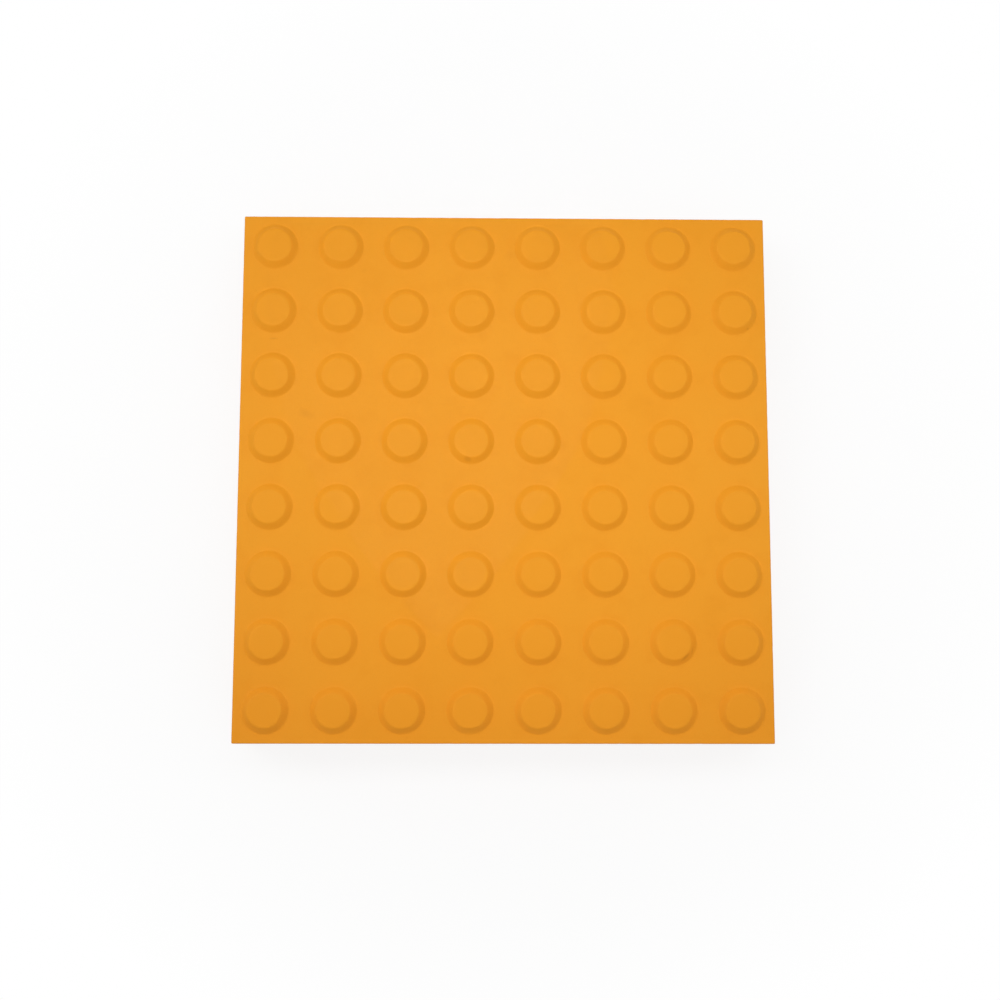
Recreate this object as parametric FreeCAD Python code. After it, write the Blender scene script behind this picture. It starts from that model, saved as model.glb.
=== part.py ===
"""Tactile paving slab: one square flag of pressed, through-coloured concrete.

Its face carries a square grid of truncated domes that a walker feels underfoot.
The slab lies as it is laid, with its bed face down on z = 0 and its centre on the z axis.
All sizes are in millimetres.
"""

import FreeCAD
import Part
import os

# Truncated domes, at one pitch both ways.
DOME_PITCH = 50.0
DOMES_PER_SIDE = 8
DOME_TOP_DIAMETER = 25.5
DOME_BASE_DIAMETER = 34.5
DOME_HEIGHT = 4.5

# The dome grid runs on unbroken from slab to slab, so the paving module is a whole number of
# pitches, and the slab is that module less the joint that is filled with sand or mortar.
JOINT = 2.0
SLAB_SIDE = DOMES_PER_SIDE * DOME_PITCH - JOINT

# Body of the slab, from the bed face to the face that the domes stand on.
SLAB_THICKNESS = 50.0
# Bevel that takes the sharpness off every arris of the body.
ARRIS_BEVEL = 1.0


def slab_body():
    """Square block with every arris bevelled, its bed face on z = 0."""
    corner = FreeCAD.Vector(-SLAB_SIDE / 2, -SLAB_SIDE / 2, 0)
    block = Part.makeBox(SLAB_SIDE, SLAB_SIDE, SLAB_THICKNESS, corner)
    return block.makeChamfer(ARRIS_BEVEL, block.Edges)


def dome():
    """Truncated dome, turned from its half section about the z axis, standing on z = 0."""
    half_section = Part.makePolygon(
        [
            FreeCAD.Vector(0, 0, 0),
            FreeCAD.Vector(DOME_BASE_DIAMETER / 2, 0, 0),
            FreeCAD.Vector(DOME_TOP_DIAMETER / 2, 0, DOME_HEIGHT),
            FreeCAD.Vector(0, 0, DOME_HEIGHT),
            FreeCAD.Vector(0, 0, 0),
        ]
    )
    axis_point = FreeCAD.Vector(0, 0, 0)
    axis_direction = FreeCAD.Vector(0, 0, 1)
    return Part.Face(half_section).revolve(axis_point, axis_direction, 360)


def dome_field():
    """One dome at each point of the grid, standing on the slab's face."""
    first = -(DOMES_PER_SIDE - 1) * DOME_PITCH / 2
    steps = [first + DOME_PITCH * n for n in range(DOMES_PER_SIDE)]
    pattern = dome()
    return [
        pattern.translated(FreeCAD.Vector(x, y, SLAB_THICKNESS))
        for x in steps
        for y in steps
    ]


def paving_slab():
    """The body and its domes are cast in one, so they are one solid."""
    return slab_body().fuse(dome_field()).removeSplitter().Solids[0]


os.makedirs("parts", exist_ok=True)
paving_slab().exportStep("parts/paving_slab.step")
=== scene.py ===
from math import radians, tau

import bpy
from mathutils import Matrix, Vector


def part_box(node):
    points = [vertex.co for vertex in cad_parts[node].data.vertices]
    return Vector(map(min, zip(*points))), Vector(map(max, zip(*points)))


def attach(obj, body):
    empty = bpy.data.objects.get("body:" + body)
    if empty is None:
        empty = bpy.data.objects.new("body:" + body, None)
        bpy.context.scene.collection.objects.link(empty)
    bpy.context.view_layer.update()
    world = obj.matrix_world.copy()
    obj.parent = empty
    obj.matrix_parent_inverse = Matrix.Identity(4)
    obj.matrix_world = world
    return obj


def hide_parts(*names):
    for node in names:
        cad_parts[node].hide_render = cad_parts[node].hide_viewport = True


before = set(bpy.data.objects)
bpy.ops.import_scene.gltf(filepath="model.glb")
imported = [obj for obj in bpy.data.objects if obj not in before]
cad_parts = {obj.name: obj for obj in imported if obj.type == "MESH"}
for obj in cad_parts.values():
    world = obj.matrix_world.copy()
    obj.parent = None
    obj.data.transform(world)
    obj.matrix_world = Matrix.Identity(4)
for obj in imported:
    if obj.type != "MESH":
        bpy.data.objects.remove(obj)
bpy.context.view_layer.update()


# Paving slab
# One square flag of pressed, through-coloured concrete, with its body and its truncated domes in one piece.
# A press squeezes the damp mix into a steel mould whose plate forms the domes, so the face is dense and
# smooth, and the sides and the bed stay open grained. It is laid on mortar or sand with a narrow joint.

MM = 0.001
slab_low, slab_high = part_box("paving_slab")
SLAB_SIDE = slab_high.x - slab_low.x
DOME_PITCH = 50 * MM
DOMES_PER_SIDE = round(SLAB_SIDE / DOME_PITCH)
DOME_TOP_DIAMETER = 25.5 * MM
DOME_BASE_DIAMETER = 34.5 * MM
DOME_HEIGHT = 4.5 * MM
FACE_HEIGHT = slab_high.z - DOME_HEIGHT

# Roundings that the mould leaves, and the mesh's own steps.
RIM_RADIUS = 2.4 * MM
FOOT_RADIUS = 1.0 * MM
ARRIS_RADIUS = 0.9 * MM
CORNER_RADIUS = 1.0 * MM
BORDER_WIDTH = 3.0 * MM
ROUNDING_STEPS = 4
DOME_SEGMENTS = 56
TOP_RINGS = 3
FLAT_RINGS = 3
EDGE_STEPS = 160
WALL_ROWS = 12
BED_STEPS = 40
WELD_DISTANCE = 0.01 * MM

# Slow unevenness of the pressed face, closer waves on the sides, domes chafed out of round at rim and flank,
# and arrises nicked in handling. A range is the part of a noise over which its effect comes in, and a lean
# is the upward part of the surface's normal.
FACE_WAVE_SIZE = 26 * MM
FACE_WAVE_DEPTH = 0.10 * MM
SIDE_WAVE_SIZE = 14 * MM
SIDE_WAVE_DEPTH = 0.10 * MM
CHAFE_SIZE = 8 * MM
CHAFE_DEPTH = 0.40 * MM
CHAFE_RANGE = (0.48, 0.78)
CHAFE_LEAN = (0.99, 0.85)
CHAFE_RISE = 0.6 * MM
NICK_SIZE = 5.5 * MM
NICK_DEPTH = 0.24 * MM
NICK_RANGE = (0.5, 0.75)
NICK_REACH = 1.8 * MM
WEAR_DETAIL = 2.0
WEAR_SEED = 7


def place(tree, kind, inputs=None, **settings):
    """Adds a node to a tree, sets it up, and gives each named input a value or a link."""
    node = tree.nodes.new(kind)
    for name, value in settings.items():
        setattr(node, name, value)
    for socket, value in (inputs or {}).items():
        if isinstance(value, bpy.types.NodeSocket):
            tree.links.new(value, node.inputs[socket])
        else:
            node.inputs[socket].default_value = value
    return node


def maths(tree, operation, *values):
    """One number worked out from others, in a geometry tree or in a material."""
    return place(tree, "ShaderNodeMath", dict(enumerate(values)), operation=operation).outputs[0]


def half(tree, value):
    """Half of a number."""
    return maths(tree, "DIVIDE", value, 2.0)


def twice(tree, value):
    """Double a number."""
    return maths(tree, "MULTIPLY", value, 2.0)


def negative(tree, value):
    """A number with its sign changed."""
    return maths(tree, "MULTIPLY", value, -1.0)


def remainder(tree, share):
    """What a share leaves of the whole."""
    return maths(tree, "SUBTRACT", 1.0, share)


def ramp(tree, value, low, high, start=0.0, end=1.0):
    """A number that goes from start to end while another goes from low to high, and stays there."""
    ends = {"Value": value, "From Min": low, "From Max": high, "To Min": start, "To Max": end}
    return place(tree, "ShaderNodeMapRange", ends).outputs[0]


def parts_of(tree, whole):
    """The X, Y and Z of a vector."""
    return place(tree, "ShaderNodeSeparateXYZ", {"Vector": whole}).outputs


def vector(tree, x, y, z=0.0):
    """A vector from its three parts."""
    return place(tree, "ShaderNodeCombineXYZ", {"X": x, "Y": y, "Z": z}).outputs[0]


def new_tree(name, sizes):
    """An empty geometry tree with a named input for each size, and the sockets of its group input."""
    tree = bpy.data.node_groups.new(name, "GeometryNodeTree")
    for label, (kind, default) in sizes.items():
        socket = tree.interface.new_socket(label, in_out="INPUT", socket_type="NodeSocket" + kind)
        socket.default_value = default
    tree.interface.new_socket("Geometry", in_out="OUTPUT", socket_type="NodeSocketGeometry")
    return tree, place(tree, "NodeGroupInput").outputs


# Sockets of the compare node that take whole numbers.
WHOLE_FIRST, WHOLE_SECOND = 2, 3


def equal(tree, first, second):
    """True where two whole numbers are the same."""
    numbers = {WHOLE_FIRST: first, WHOLE_SECOND: second}
    return place(tree, "FunctionNodeCompare", numbers, data_type="INT", operation="EQUAL").outputs[0]


def choose(tree, test, if_false, if_true):
    """One of two numbers, by a test."""
    ways = {"Switch": test, "False": if_false, "True": if_true}
    return place(tree, "GeometryNodeSwitch", ways, input_type="FLOAT").outputs[0]


def joined(tree, *meshes):
    """Several meshes as one."""
    node = place(tree, "GeometryNodeJoinGeometry")
    for mesh in meshes:
        tree.links.new(mesh, node.inputs[0])
    return node.outputs[0]


def welded(tree, mesh):
    """A mesh with the points that coincide merged."""
    inputs = {"Geometry": mesh, "Distance": WELD_DISTANCE}
    return place(tree, "GeometryNodeMergeByDistance", inputs).outputs[0]


def rounded(tree, curve, radius):
    """A curve with its corners filleted."""
    inputs = {"Curve": curve, "Count": ROUNDING_STEPS, "Radius": radius}
    return place(tree, "GeometryNodeFilletCurve", inputs, mode="POLY").outputs[0]


def swept(tree, path, section):
    """A section run along a path."""
    return place(tree, "GeometryNodeCurveToMesh", {"Curve": path, "Profile Curve": section}).outputs[0]


def tile_tree():
    """One dome, turned from its half section, in the square of flat face that belongs to it."""
    tree, size = new_tree(
        "Domed tile",
        {
            "Pitch": ("Float", DOME_PITCH),
            "Top diameter": ("Float", DOME_TOP_DIAMETER),
            "Base diameter": ("Float", DOME_BASE_DIAMETER),
            "Height": ("Float", DOME_HEIGHT),
            "Rim radius": ("Float", RIM_RADIUS),
            "Foot radius": ("Float", FOOT_RADIUS),
        },
    )
    top_radius = half(tree, size["Top diameter"])
    base_radius = half(tree, size["Base diameter"])
    land_radius = maths(tree, "SUBTRACT", top_radius, size["Rim radius"])
    skirt_radius = maths(tree, "ADD", base_radius, size["Foot radius"])
    flank_radius = half(tree, maths(tree, "ADD", top_radius, base_radius))

    # The section hangs on the skirt circle: X is measured out from that circle, and Y downwards.
    up = negative(tree, size["Height"])
    half_up = half(tree, up)
    outline = [(maths(tree, "MULTIPLY", land_radius, ring / TOP_RINGS), up) for ring in range(TOP_RINGS + 1)]
    rim = len(outline)
    outline += [(top_radius, up), (flank_radius, half_up)]
    foot = len(outline)
    outline += [(base_radius, 0.0), (skirt_radius, 0.0)]
    index = place(tree, "GeometryNodeInputIndex").outputs[0]
    corners = place(tree, "GeometryNodeIndexSwitch", {"Index": index}, data_type="VECTOR")
    while len(corners.index_switch_items) < len(outline):
        corners.index_switch_items.new()
    for number, (radius, down) in enumerate(outline):
        out = maths(tree, "SUBTRACT", radius, skirt_radius)
        tree.links.new(vector(tree, out, down), corners.inputs[number + 1])
    dots = place(tree, "GeometryNodePoints", {"Count": len(outline), "Position": corners.outputs[0]})
    section = place(tree, "GeometryNodePointsToCurves", {"Points": dots.outputs[0]}).outputs[0]
    rounding = choose(tree, equal(tree, index, rim), 0.0, size["Rim radius"])
    rounding = choose(tree, equal(tree, index, foot), rounding, size["Foot radius"])
    circle = place(
        tree, "GeometryNodeCurvePrimitiveCircle", {"Resolution": DOME_SEGMENTS, "Radius": skirt_radius}
    )
    dome = swept(tree, circle.outputs[0], rounded(tree, section, rounding))

    # The flat is a unit grid wrapped round the dome, from the skirt circle out to the square.
    unit = 1.0
    sheet = place(
        tree,
        "GeometryNodeMeshGrid",
        {"Size X": unit, "Size Y": unit, "Vertices X": FLAT_RINGS + 1, "Vertices Y": DOME_SEGMENTS + 1},
    )
    spot = parts_of(tree, place(tree, "GeometryNodeInputPosition").outputs[0])
    share_out = maths(tree, "ADD", spot["X"], unit / 2)
    turn = maths(tree, "MULTIPLY", maths(tree, "ADD", spot["Y"], unit / 2), tau)
    cosine = maths(tree, "COSINE", turn)
    sine = maths(tree, "SINE", turn)
    widest = maths(tree, "MAXIMUM", maths(tree, "ABSOLUTE", cosine), maths(tree, "ABSOLUTE", sine))
    to_square = maths(tree, "DIVIDE", half(tree, size["Pitch"]), widest)
    to_edge = maths(tree, "SUBTRACT", to_square, skirt_radius)
    radius = maths(tree, "MULTIPLY_ADD", share_out, to_edge, skirt_radius)
    wrapped = vector(tree, maths(tree, "MULTIPLY", radius, cosine), maths(tree, "MULTIPLY", radius, sine))
    flat = place(tree, "GeometryNodeSetPosition", {"Geometry": sheet.outputs[0], "Position": wrapped})
    place(tree, "NodeGroupOutput", {"Geometry": welded(tree, joined(tree, dome, flat.outputs[0]))})
    return tree


def wall_tree():
    """Section of the slab's edge, from its face round both arrises to its bed, run round the outline."""
    tree, size = new_tree(
        "Slab wall",
        {
            "Side": ("Float", SLAB_SIDE),
            "Height": ("Float", FACE_HEIGHT),
            "Arris radius": ("Float", ARRIS_RADIUS),
            "Corner radius": ("Float", CORNER_RADIUS),
        },
    )
    index = place(tree, "GeometryNodeInputIndex").outputs[0]
    square = place(
        tree,
        "GeometryNodeCurvePrimitiveQuadrilateral",
        {"Width": size["Side"], "Height": size["Side"]},
        mode="RECTANGLE",
    )
    stepped = place(
        tree, "GeometryNodeSubdivideCurve", {"Curve": square.outputs[0], "Cuts": EDGE_STEPS - 1}
    )
    along_side = maths(tree, "FLOORED_MODULO", index, EDGE_STEPS)
    at_corner = choose(tree, equal(tree, along_side, 0), 0.0, size["Corner radius"])
    outline = rounded(tree, stepped.outputs[0], at_corner)

    inset = negative(tree, size["Corner radius"])
    up = negative(tree, size["Height"])
    edge = place(
        tree,
        "GeometryNodeCurvePrimitiveQuadrilateral",
        {
            "Point 1": vector(tree, inset, up),
            "Point 2": vector(tree, 0.0, up),
            "Point 3": vector(tree, 0.0, 0.0),
            "Point 4": vector(tree, inset, 0.0),
        },
        mode="POINTS",
    )
    section = place(tree, "GeometryNodeSetSplineCyclic", {"Geometry": edge.outputs[0], "Cyclic": False})
    top_arris = 1
    bed_arris = top_arris + WALL_ROWS
    rows = choose(tree, equal(tree, index, top_arris), 0.0, WALL_ROWS - 1.0)
    banded = place(tree, "GeometryNodeSubdivideCurve", {"Curve": section.outputs[0], "Cuts": rows})
    rounding = choose(tree, equal(tree, index, top_arris), 0.0, size["Arris radius"])
    rounding = choose(tree, equal(tree, index, bed_arris), rounding, size["Arris radius"])
    wall = swept(tree, outline, rounded(tree, banded.outputs[0], rounding))
    place(tree, "NodeGroupOutput", {"Geometry": wall})
    return tree


def slab_tree(tile, wall):
    """Tiles side by side for the face, the bed under them and the wall round both, closed and then worn."""
    tree, size = new_tree(
        "Paving slab",
        {
            "Side": ("Float", SLAB_SIDE),
            "Face height": ("Float", FACE_HEIGHT),
            "Dome pitch": ("Float", DOME_PITCH),
            "Domes per side": ("Int", DOMES_PER_SIDE),
            "Border": ("Float", BORDER_WIDTH),
            "Face wave": ("Float", FACE_WAVE_DEPTH),
            "Side wave": ("Float", SIDE_WAVE_DEPTH),
            "Chafe depth": ("Float", CHAFE_DEPTH),
            "Nick depth": ("Float", NICK_DEPTH),
            "Wear seed": ("Float", WEAR_SEED),
            "Concrete": ("Material", None),
        },
    )
    position = place(tree, "GeometryNodeInputPosition").outputs[0]
    spot = parts_of(tree, position)
    to_face = vector(tree, 0.0, 0.0, size["Face height"])
    flat_reach = maths(tree, "SUBTRACT", half(tree, size["Side"]), size["Border"])

    # The tiles fill the whole paving module, so the strip outside the last domes is drawn in to the side.
    half_tile = half(tree, size["Dome pitch"])
    half_module = maths(tree, "MULTIPLY", size["Domes per side"], half_tile)
    last_dome = maths(tree, "SUBTRACT", half_module, half_tile)
    last_foot = maths(tree, "ADD", last_dome, DOME_BASE_DIAMETER / 2 + FOOT_RADIUS)
    strip = maths(tree, "SUBTRACT", half_module, last_foot)
    narrower = maths(tree, "DIVIDE", maths(tree, "SUBTRACT", flat_reach, last_foot), strip)
    drawn_in = []
    for part in ("X", "Y"):
        away = maths(tree, "ABSOLUTE", spot[part])
        beyond = maths(tree, "MAXIMUM", maths(tree, "SUBTRACT", away, last_foot), 0.0)
        within = maths(tree, "MINIMUM", away, last_foot)
        reached = maths(tree, "MULTIPLY_ADD", beyond, narrower, within)
        drawn_in.append(maths(tree, "MULTIPLY", reached, maths(tree, "SIGN", spot[part])))
    grid_reach = twice(tree, last_dome)
    centres = place(
        tree,
        "GeometryNodeMeshGrid",
        {
            "Size X": grid_reach,
            "Size Y": grid_reach,
            "Vertices X": size["Domes per side"],
            "Vertices Y": size["Domes per side"],
        },
    )
    pattern = place(tree, "GeometryNodeGroup", {"Pitch": size["Dome pitch"]}, node_tree=tile)
    tiles = place(
        tree,
        "GeometryNodeInstanceOnPoints",
        {"Points": centres.outputs["Mesh"], "Instance": pattern.outputs[0]},
    )
    laid = place(tree, "GeometryNodeRealizeInstances", {"Geometry": tiles.outputs[0]})
    fitted = place(
        tree,
        "GeometryNodeSetPosition",
        {
            "Geometry": welded(tree, laid.outputs[0]),
            "Position": vector(tree, *drawn_in, spot["Z"]),
            "Offset": to_face,
        },
    )
    bed_reach = twice(tree, flat_reach)
    bed = place(
        tree,
        "GeometryNodeMeshGrid",
        {
            "Size X": bed_reach,
            "Size Y": bed_reach,
            "Vertices X": BED_STEPS + 1,
            "Vertices Y": BED_STEPS + 1,
        },
    )
    bed_down = place(tree, "GeometryNodeFlipFaces", {"Mesh": bed.outputs["Mesh"]})
    edge = place(
        tree, "GeometryNodeGroup", {"Side": size["Side"], "Height": size["Face height"]}, node_tree=wall
    )
    open_shell = joined(tree, fitted.outputs[0], bed_down.outputs[0], edge.outputs[0])

    # Two pairs of open rims are left, round the face and round the bed, and each pair bounds a border.
    faces_at_edge = place(tree, "GeometryNodeInputMeshEdgeNeighbors").outputs[0]
    faces_at_rim = 1
    is_rim = equal(tree, faces_at_edge, faces_at_rim)
    is_high = maths(tree, "GREATER_THAN", spot["Z"], half(tree, size["Face height"]))
    is_low = remainder(tree, is_high)
    borders = []
    for level in (is_high, is_low):
        rims = place(
            tree,
            "GeometryNodeMeshToCurve",
            {"Mesh": open_shell, "Selection": maths(tree, "MULTIPLY", is_rim, level)},
        )
        borders.append(place(tree, "GeometryNodeFillCurve", {"Curve": rims.outputs[0]}, mode="TRIANGLES"))
    face_border = place(
        tree, "GeometryNodeSetPosition", {"Geometry": borders[0].outputs[0], "Offset": to_face}
    )
    bed_border = place(tree, "GeometryNodeFlipFaces", {"Mesh": borders[1].outputs[0]})
    closed = welded(tree, joined(tree, open_shell, face_border.outputs[0], bed_border.outputs[0]))

    # Wear only takes material off, and leaves the bed flat.
    def unevenness(feature_size):
        inputs = {
            "Vector": position,
            "W": size["Wear seed"],
            "Scale": 1 / feature_size,
            "Detail": WEAR_DETAIL,
        }
        return place(tree, "ShaderNodeTexNoise", inputs, noise_dimensions="4D").outputs[0]

    off_bed = maths(tree, "GREATER_THAN", spot["Z"], WELD_DISTANCE)
    to_top = maths(tree, "SUBTRACT", size["Face height"], spot["Z"])
    below_face = ramp(tree, to_top, 0.0, NICK_REACH)
    nearest_arris = maths(tree, "MINIMUM", spot["Z"], maths(tree, "ABSOLUTE", to_top))
    off_flat = maths(tree, "GREATER_THAN", to_top, WELD_DISTANCE)
    near_arris = maths(tree, "MULTIPLY", ramp(tree, nearest_arris, 0.0, NICK_REACH, 1.0, 0.0), off_flat)
    nicked = maths(tree, "MULTIPLY", ramp(tree, unevenness(NICK_SIZE), *NICK_RANGE), near_arris)
    normal = place(tree, "GeometryNodeInputNormal").outputs[0]
    leaning = ramp(tree, parts_of(tree, normal)["Z"], *CHAFE_LEAN)
    on_dome = maths(tree, "MULTIPLY", leaning, ramp(tree, to_top, 0.0, -CHAFE_RISE))
    chafed = maths(tree, "MULTIPLY", ramp(tree, unevenness(CHAFE_SIZE), *CHAFE_RANGE), on_dome)
    side_depth = maths(tree, "MULTIPLY", below_face, size["Side wave"])
    face_depth = maths(tree, "MULTIPLY", remainder(tree, below_face), size["Face wave"])
    depth = maths(tree, "MULTIPLY", unevenness(FACE_WAVE_SIZE), face_depth)
    depth = maths(tree, "MULTIPLY_ADD", unevenness(SIDE_WAVE_SIZE), side_depth, depth)
    depth = maths(tree, "MULTIPLY_ADD", chafed, size["Chafe depth"], depth)
    depth = maths(tree, "MULTIPLY_ADD", nicked, size["Nick depth"], depth)
    inwards = negative(tree, maths(tree, "MULTIPLY", depth, off_bed))
    offset = place(tree, "ShaderNodeVectorMath", {0: normal, "Scale": inwards}, operation="SCALE")
    worn = place(tree, "GeometryNodeSetPosition", {"Geometry": closed, "Offset": offset.outputs[0]})
    smooth = place(tree, "GeometryNodeSetShadeSmooth", {"Geometry": worn.outputs[0]})
    realized = place(tree, "GeometryNodeRealizeInstances", {"Geometry": smooth.outputs[0]})
    finish = {"Geometry": realized.outputs[0], "Material": size["Concrete"]}
    finished = place(tree, "GeometryNodeSetMaterial", finish)
    place(tree, "NodeGroupOutput", {"Geometry": finished.outputs[0]})
    return tree


# Colours of the pigmented mix: the pressed face and its mottling, painted light making the domes' flanks
# paler, their tops a touch less green in patches, the duller open sides, pale sand and dark grit, pores
# darkened with painted shade, and the brown of soil and scuffs.
FACE_COLOUR = (0.850, 0.329, 0.0181, 1.0)
PALE_PATCH = (0.861, 0.339, 0.0200, 1.0)
DEEP_PATCH = (0.835, 0.317, 0.0160, 1.0)
FLANK_PAINTED_LIGHT = (0.851, 0.335, 0.0184, 1.0)
DOME_TOP_COLOUR = (0.854, 0.327, 0.0176, 1.0)
SIDE_COLOUR = (0.760, 0.285, 0.0220, 1.0)
SAND_COLOUR = (0.880, 0.470, 0.090, 1.0)
GRIT_COLOUR = (0.360, 0.130, 0.020, 1.0)
PORE_SHADE_COLOUR = (0.330, 0.105, 0.008, 1.0)
SOIL_COLOUR = (0.400, 0.100, 0.004, 1.0)
# Towards the near side a painted shade: the colour turns a little redder and darker in green, and the flanks
# lose their painted light.
NEAR_SIDE = (-40 * MM, -195 * MM)
NEAR_SIDE_SHADE_TINT = (1.008, 0.966, 1.0, 1.0)
CONCRETE_SHINE = 0.10
FACE_ROUGHNESS = 0.42
SIDE_ROUGHNESS = 0.80
GRAIN_ROUGHNESS = 0.10

# How far a surface leans, as the upward part of its normal, where a side ends and where a flank does.
SIDE_LEAN = (0.3, 0.6)
FLANK_LEAN = (0.95, 0.75)
# Band of the dome's height, as shares of it, in which its tinted top begins.
TOP_BAND = (0.8, 0.95)

# Feature sizes of the mix.
CLOUD_SIZE = 90 * MM
PATCH_SIZE = 20 * MM
SCUFF_SIZE = 7 * MM
GRAIN_SIZE = 0.8 * MM
COARSE_SIZE = 2.2 * MM
SAND_SPACING = 1.3 * MM
PORE_SPACING = 4.5 * MM
FACE_PORE = 0.25 * MM
SIDE_PORE = 1.2 * MM
DRAG_WIDTH = 3.5 * MM
DRAG_STRETCH = 14.0

# Layers of finer noise in each noise, how strongly they show, and the middle of a noise.
SOFT_DETAIL = 2.0
RICH_DETAIL = 3.0
EVEN_GRIT = 0.5
HARSH_GRIT = 0.6
NOISE_MIDDLE = 0.5

# How deep and how strong each shows. A range is the part of a noise over which its effect comes in.
CLOUD_RANGE = (0.35, 0.65)
PATCH_RANGE = (0.5, 0.72)
PATCH_STRENGTH = 0.7
TOP_PATCH_RANGE = (0.3, 0.7)
TOP_PATCH_LEAST = 0.6
SAND_EDGE = (0.32, 0.48)
SAND_DRAW = 0.72
GRIT_DRAW = 0.12
FACE_SAND = 0.03
SIDE_SAND = 0.38
FACE_PORE_DRAW = 0.85
SIDE_PORE_DRAW = 0.45
PORE_SHADE_STRENGTH = 0.7
GRAIN_SHADE = 0.05
DRAG_SHADE = 0.16
GRAIN_RELIEF = 0.03 * MM
SIDE_RELIEF = 0.9 * MM
PORE_DEPTH = 0.5 * MM
BUMP_STRENGTH = 1.0
BUMP_DISTANCE = 1.0

# Marks on the face: place, length and width in millimetres, turn in degrees, and strength.
# Noise makes their edges ragged, and they fade out between two shares of their half size.
MARKS = (
    (-148.5, 45.4, 17, 9, -20, 0.11),
    (5.4, 169.2, 15, 11, -10, 0.08),
    (108.2, 55.6, 13, 10, 0, 0.03),
    (-174.6, 103.4, 9, 1.8, 0, 0.20),
    (-106.7, 156.9, 6, 6, 0, 0.07),
    (-27.5, 11.3, 6, 3.8, -15, 0.20),
    (133.6, -135.5, 9.7, 2.7, 43, 0.28),
    (138.7, -131.3, 6, 1.5, 80, 0.15),
    (185.2, 112.4, 3, 2.2, 30, 0.22),
)
MARK_FADE = (0.75, 1.55)
MARK_RAGGED = 0.9


# Sockets of the mix node that take two colours and give their mixture.
MIX_FIRST, MIX_SECOND, MIX_RESULT = 6, 7, 2


def blend(tree, amount, first, second, kind="MIX"):
    """Two colours mixed, or multiplied, by an amount."""
    inputs = {0: amount, MIX_FIRST: first, MIX_SECOND: second}
    return place(tree, "ShaderNodeMix", inputs, data_type="RGBA", blend_type=kind).outputs[MIX_RESULT]


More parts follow.
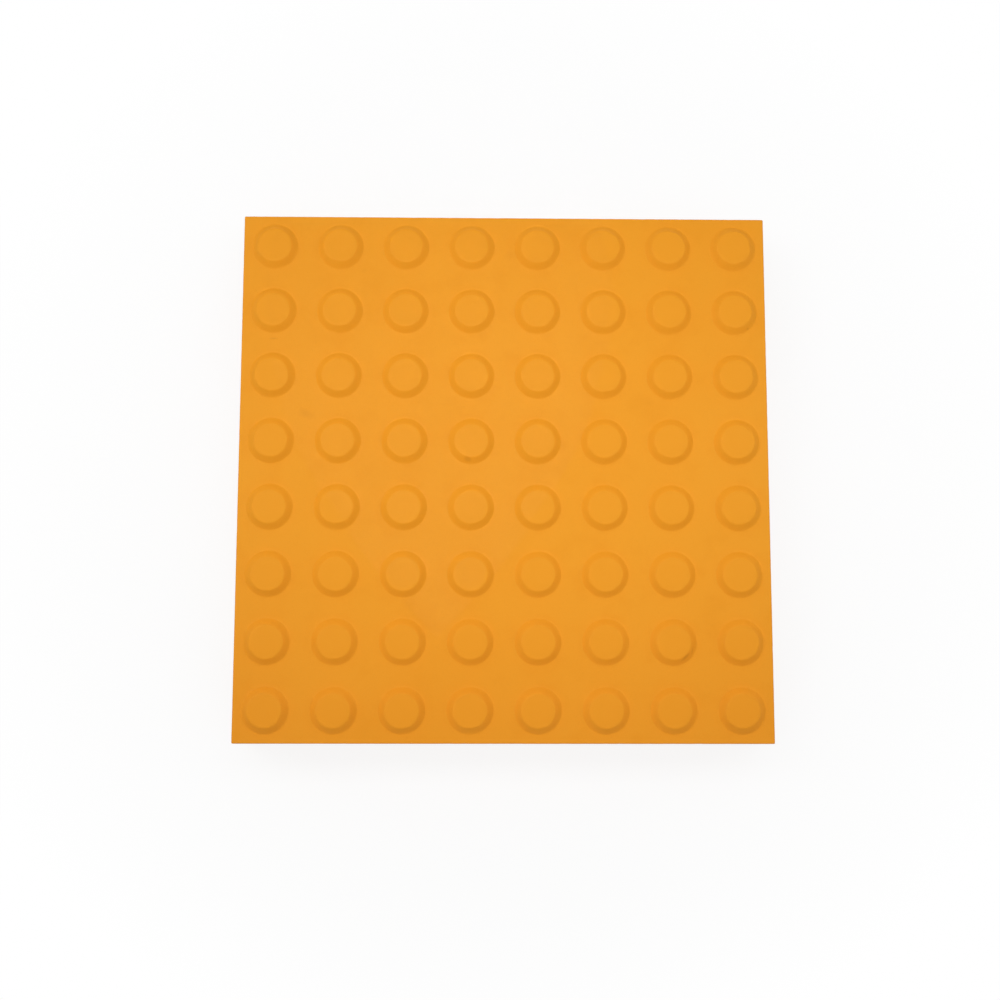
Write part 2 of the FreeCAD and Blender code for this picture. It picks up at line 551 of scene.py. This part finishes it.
def concrete_material():
    """Pigmented concrete: smooth and faintly mottled on the face, open grained on the sides and the bed."""
    material = bpy.data.materials.new("pressed_concrete")
    material.use_nodes = True
    tree = material.node_tree
    tree.nodes.clear()
    coordinates = place(tree, "ShaderNodeTexCoord").outputs
    where = coordinates["Object"]
    along = parts_of(tree, where)
    height = along["Z"]
    near_side = ramp(tree, along["Y"], *NEAR_SIDE)
    facing = parts_of(tree, coordinates["Normal"])["Z"]
    open_side = ramp(tree, facing, *SIDE_LEAN, 1.0, 0.0)
    pressed = remainder(tree, open_side)
    flank = maths(tree, "MULTIPLY", ramp(tree, facing, *FLANK_LEAN), pressed)
    on_top = ramp(tree, height, *(FACE_HEIGHT + share * DOME_HEIGHT for share in TOP_BAND))

    def noise(feature_size, detail=SOFT_DETAIL, grit=EVEN_GRIT, spot=where):
        inputs = {"Vector": spot, "Scale": 1 / feature_size, "Detail": detail, "Roughness": grit}
        return place(tree, "ShaderNodeTexNoise", inputs).outputs[0]

    def cells(spacing):
        found = place(tree, "ShaderNodeTexVoronoi", {"Vector": where, "Scale": 1 / spacing}).outputs
        drawn = place(tree, "ShaderNodeTexWhiteNoise", {"Vector": found["Color"]}).outputs["Color"]
        draws = place(tree, "ShaderNodeSeparateColor", {"Color": drawn}).outputs
        return found["Distance"], draws["Red"], draws["Green"]

    def face_to_side(on_face, on_side):
        return maths(tree, "MULTIPLY_ADD", open_side, on_side - on_face, on_face)

    def mark(x, y, length, width, turn):
        middle = (x * MM, y * MM, FACE_HEIGHT + DOME_HEIGHT / 2)
        reach = (length * MM / 2, width * MM / 2, DOME_HEIGHT)
        inputs = {"Vector": where, "Location": middle, "Rotation": (0, 0, radians(turn)), "Scale": reach}
        own = place(tree, "ShaderNodeMapping", inputs, vector_type="TEXTURE").outputs[0]
        away = place(tree, "ShaderNodeVectorMath", {0: own}, operation="LENGTH").outputs["Value"]
        ragged = maths(tree, "MULTIPLY_ADD", ragged_edge, MARK_RAGGED, away)
        return ramp(tree, ragged, *MARK_FADE, 1.0, 0.0)

    # Mottling of the face, painted light that makes the domes' flanks paler, and the duller sides.
    clouds = ramp(tree, noise(CLOUD_SIZE, RICH_DETAIL), *CLOUD_RANGE)
    patches = ramp(tree, noise(PATCH_SIZE), *PATCH_RANGE, 0.0, PATCH_STRENGTH)
    tone = blend(tree, clouds, FACE_COLOUR, PALE_PATCH)
    tone = blend(tree, patches, tone, DEEP_PATCH)
    # Painted light: the flanks paler, like a sheen, fading out towards the near side, where they are left as
    # painted shade.
    flank_light = maths(tree, "MULTIPLY", flank, remainder(tree, near_side))
    tone = blend(tree, flank_light, tone, FLANK_PAINTED_LIGHT)
    tone = blend(tree, open_side, tone, SIDE_COLOUR)

    # Sand and grit in the mix, plain on the open sides and all but hidden in the pressed face.
    from_grain, grain_draw, _ = cells(SAND_SPACING)
    grain_spot = ramp(tree, from_grain, *SAND_EDGE, 1.0, 0.0)
    grain_shows = maths(tree, "MULTIPLY", grain_spot, face_to_side(FACE_SAND, SIDE_SAND))
    is_sand = maths(tree, "GREATER_THAN", grain_draw, SAND_DRAW)
    is_grit = maths(tree, "LESS_THAN", grain_draw, GRIT_DRAW)
    tone = blend(tree, maths(tree, "MULTIPLY", is_sand, grain_shows), tone, SAND_COLOUR)
    tone = blend(tree, maths(tree, "MULTIPLY", is_grit, grain_shows), tone, GRIT_COLOUR)

    # Pores: pinholes in the face, larger and more of them in the sides, darkened with painted shade.
    from_middle, pore_draw, pore_size = cells(PORE_SPACING)
    pinhole = FACE_PORE / PORE_SPACING
    largest = face_to_side(pinhole, SIDE_PORE / PORE_SPACING)
    is_pore = maths(tree, "GREATER_THAN", pore_draw, face_to_side(FACE_PORE_DRAW, SIDE_PORE_DRAW))
    pore_radius = maths(tree, "MULTIPLY", maths(tree, "MULTIPLY", largest, pore_size), is_pore)
    pore = ramp(tree, maths(tree, "SUBTRACT", pore_radius, from_middle), 0.0, pinhole)
    # Painted shade inside the pores.
    tone = blend(tree, maths(tree, "MULTIPLY", pore, PORE_SHADE_STRENGTH), tone, PORE_SHADE_COLOUR)

    # Tops of the domes, a touch less green in patches, painted shade towards the near side, and the marks.
    ragged_edge = noise(SCUFF_SIZE, RICH_DETAIL)
    # The domes' tops a touch less green, in patches.
    top_patches = ramp(tree, ragged_edge, *TOP_PATCH_RANGE, TOP_PATCH_LEAST, 1.0)
    tone = blend(tree, maths(tree, "MULTIPLY", top_patches, on_top), tone, DOME_TOP_COLOUR)
    # Painted shade: redder and darker in green towards the near side.
    tone = blend(tree, near_side, tone, NEAR_SIDE_SHADE_TINT, "MULTIPLY")
    soil = 0.0
    for *outline, strength in MARKS:
        soil = maths(tree, "MAXIMUM", soil, maths(tree, "MULTIPLY", mark(*outline), strength))
    tone = blend(tree, soil, tone, SOIL_COLOUR)

    # Fine grain all over, and the streaks that the mould drew up and down the sides as the slab left it.
    grain = noise(GRAIN_SIZE, SOFT_DETAIL, HARSH_GRIT)
    lengthways = {"Vector": where, "Scale": (1.0, 1.0, 1 / DRAG_STRETCH)}
    stretched = place(tree, "ShaderNodeMapping", lengthways).outputs[0]
    drag = noise(DRAG_WIDTH, RICH_DETAIL, HARSH_GRIT, stretched)
    drag_depth = maths(tree, "MULTIPLY", open_side, DRAG_SHADE)
    shade = maths(tree, "MULTIPLY_ADD", grain, GRAIN_SHADE, 1 - GRAIN_SHADE / 2)
    shade = maths(tree, "MULTIPLY_ADD", maths(tree, "SUBTRACT", drag, NOISE_MIDDLE), drag_depth, shade)
    grey = {"Red": shade, "Green": shade, "Blue": shade}
    shade_colour = place(tree, "ShaderNodeCombineColor", grey).outputs[0]
    tone = blend(tree, 1.0, tone, shade_colour, "MULTIPLY")

    # Heights in metres: fine grain all over, coarse grain on the sides, and pores sunk in.
    side_grain = maths(tree, "MULTIPLY", noise(COARSE_SIZE, RICH_DETAIL, HARSH_GRIT), open_side)
    relief = maths(tree, "MULTIPLY", grain, GRAIN_RELIEF)
    relief = maths(tree, "MULTIPLY_ADD", side_grain, SIDE_RELIEF, relief)
    relief = maths(tree, "MULTIPLY_ADD", pore, -PORE_DEPTH, relief)
    heights = {"Strength": BUMP_STRENGTH, "Distance": BUMP_DISTANCE, "Height": relief}
    bump = place(tree, "ShaderNodeBump", heights)
    roughness = maths(
        tree, "MULTIPLY_ADD", grain, GRAIN_ROUGHNESS, face_to_side(FACE_ROUGHNESS, SIDE_ROUGHNESS)
    )
    shader = place(
        tree,
        "ShaderNodeBsdfPrincipled",
        {
            "Base Color": tone,
            "Roughness": roughness,
            "Specular IOR Level": CONCRETE_SHINE,
            "Normal": bump.outputs[0],
        },
    )
    place(tree, "ShaderNodeOutputMaterial", {"Surface": shader.outputs[0]})
    return material


def made_by(tree, name, **inputs):
    """A plain mesh object from a geometry tree, with the modifier gone."""
    maker = bpy.data.objects.new(name, bpy.data.meshes.new(name))
    bpy.context.scene.collection.objects.link(maker)
    modifier = maker.modifiers.new(tree.name, "NODES")
    modifier.node_group = tree
    for item in tree.interface.items_tree:
        if item.in_out == "INPUT" and item.name in inputs:
            modifier[item.identifier] = inputs[item.name]
    evaluated = maker.evaluated_get(bpy.context.evaluated_depsgraph_get())
    mesh = bpy.data.meshes.new_from_object(evaluated)
    maker.modifiers.remove(modifier)
    maker.data = mesh
    return maker


slab = made_by(slab_tree(tile_tree(), wall_tree()), "domed_slab", Concrete=concrete_material())
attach(slab, "root")
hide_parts("paving_slab")


# Studio floor
# A wide, plain pale sheet that the slab lies on. It shows white to the camera, with the slab's soft
# shadow left faintly on it near the slab, and it throws back the light of a pale floor.

FLOOR_SIDE = 8.0
FLOOR_COLOUR = (0.60, 0.60, 0.60, 1.0)
WHITE = (1.0, 1.0, 1.0, 1.0)
WHITE_STRENGTH = 1.0
SHADOW_SHARE = 0.15
SHADOW_REACH = (0.26, 0.46)


def seen_directly(tree):
    """One for the rays that show a surface to the camera, straight or by gloss or glass."""
    path = place(tree, "ShaderNodeLightPath").outputs
    mirrored = maths(tree, "MAXIMUM", path["Is Glossy Ray"], path["Is Transmission Ray"])
    return maths(tree, "MAXIMUM", path["Is Camera Ray"], mirrored)


def floor_material():
    """Matt and pale to the light, and to the camera a white that keeps a share of the slab's shadow."""
    material = bpy.data.materials.new("studio_white")
    material.use_nodes = True
    tree = material.node_tree
    tree.nodes.clear()
    seen = seen_directly(tree)
    spot = place(tree, "ShaderNodeTexCoord").outputs["Object"]
    away = place(tree, "ShaderNodeVectorMath", {0: spot}, operation="LENGTH").outputs["Value"]
    own_white = ramp(tree, away, *SHADOW_REACH, 1 - SHADOW_SHARE, 1.0)
    matt = place(tree, "ShaderNodeBsdfDiffuse", {"Color": blend(tree, seen, FLOOR_COLOUR, WHITE)})
    white = place(tree, "ShaderNodeEmission", {"Color": WHITE, "Strength": WHITE_STRENGTH})
    share = maths(tree, "MULTIPLY", seen, own_white)
    mixed = place(tree, "ShaderNodeMixShader", {0: share, 1: matt.outputs[0], 2: white.outputs[0]})
    place(tree, "ShaderNodeOutputMaterial", {"Surface": mixed.outputs[0]})
    return material


half_floor = FLOOR_SIDE / 2
floor_corners = [
    (-half_floor, -half_floor, 0),
    (half_floor, -half_floor, 0),
    (half_floor, half_floor, 0),
    (-half_floor, half_floor, 0),
]
floor_mesh = bpy.data.meshes.new("floor")
floor_mesh.from_pydata(floor_corners, [], [(0, 1, 2, 3)])
floor_mesh.materials.append(floor_material())
floor = bpy.data.objects.new("floor", floor_mesh)
bpy.context.scene.collection.objects.link(floor)


# Studio light
# A long strip softbox lights the slab from above its far half, a softbox on the left picks out the domes'
# flanks, and a gridded one high overhead brightens the middle a little. A white room fills in the rest.

STRIP_LAMP_SIZE = (3.4, 0.25)
STRIP_LAMP_PLACE = (-0.05, 0.135, FACE_HEIGHT + 0.66)
STRIP_LAMP_WATTS = 4.3
SIDE_LAMP_SIZE = (1.0, 1.0)
SIDE_LAMP_PLACE = (-1.4, 0.6, FACE_HEIGHT + 1.8)
SIDE_LAMP_WATTS = 6.1
TOP_LAMP_SIZE = (0.48, 0.48)
TOP_LAMP_PLACE = (0.02, 0.0, FACE_HEIGHT + 2.2)
TOP_LAMP_BEAM = radians(11.4)
TOP_LAMP_WATTS = 0.084
ROOM_LIGHT = 0.52


def softbox(name, spot, size, watts):
    """A softbox that lights the slab from a spot above it without being seen."""
    light = bpy.data.lights.new(name, "AREA")
    light.shape = "RECTANGLE"
    light.size, light.size_y = size
    light.energy = watts
    lamp = bpy.data.objects.new(name, light)
    lamp.location = spot
    lamp.visible_camera = False
    bpy.context.scene.collection.objects.link(lamp)
    return lamp


softbox("strip_softbox", STRIP_LAMP_PLACE, STRIP_LAMP_SIZE, STRIP_LAMP_WATTS)
side_softbox = softbox("side_softbox", SIDE_LAMP_PLACE, SIDE_LAMP_SIZE, SIDE_LAMP_WATTS)
to_slab = Vector((0, 0, FACE_HEIGHT)) - Vector(SIDE_LAMP_PLACE)
side_softbox.rotation_euler = to_slab.to_track_quat("-Z", "Y").to_euler()
top_softbox = softbox("top_softbox", TOP_LAMP_PLACE, TOP_LAMP_SIZE, TOP_LAMP_WATTS)
top_softbox.data.shape = "DISK"
top_softbox.data.spread = TOP_LAMP_BEAM
top_softbox.visible_glossy = False

world = bpy.data.worlds.new("white_room")
world.use_nodes = True
room = world.node_tree
room.nodes.clear()
room_fill = place(room, "ShaderNodeBackground", {"Color": WHITE, "Strength": ROOM_LIGHT})
room_white = place(room, "ShaderNodeBackground", {"Color": WHITE, "Strength": WHITE_STRENGTH})
room_ways = {0: seen_directly(room), 1: room_fill.outputs[0], 2: room_white.outputs[0]}
room_mix = place(room, "ShaderNodeMixShader", room_ways)
place(room, "ShaderNodeOutputWorld", {"Surface": room_mix.outputs[0]})
bpy.context.scene.world = world
bpy.context.scene.view_settings.view_transform = "Standard"


# Camera
# It stands about a metre above the slab and looks down on it, tipped a few degrees towards the far side.
# Its field of view leaves a wide white margin round the slab.

CAMERA_ABOVE_FACE = 0.98737
CAMERA_PLACE = (-0.01924, -0.14211, FACE_HEIGHT + CAMERA_ABOVE_FACE)
CAMERA_TURN = (radians(7.087), radians(-0.940), radians(0.0868))
CAMERA_FIELD = radians(41.17)

camera = bpy.data.cameras.new("camera")
camera.angle = CAMERA_FIELD
camera_object = bpy.data.objects.new("camera", camera)
camera_object.location = CAMERA_PLACE
camera_object.rotation_euler = CAMERA_TURN
bpy.context.scene.collection.objects.link(camera_object)
bpy.context.scene.camera = camera_object
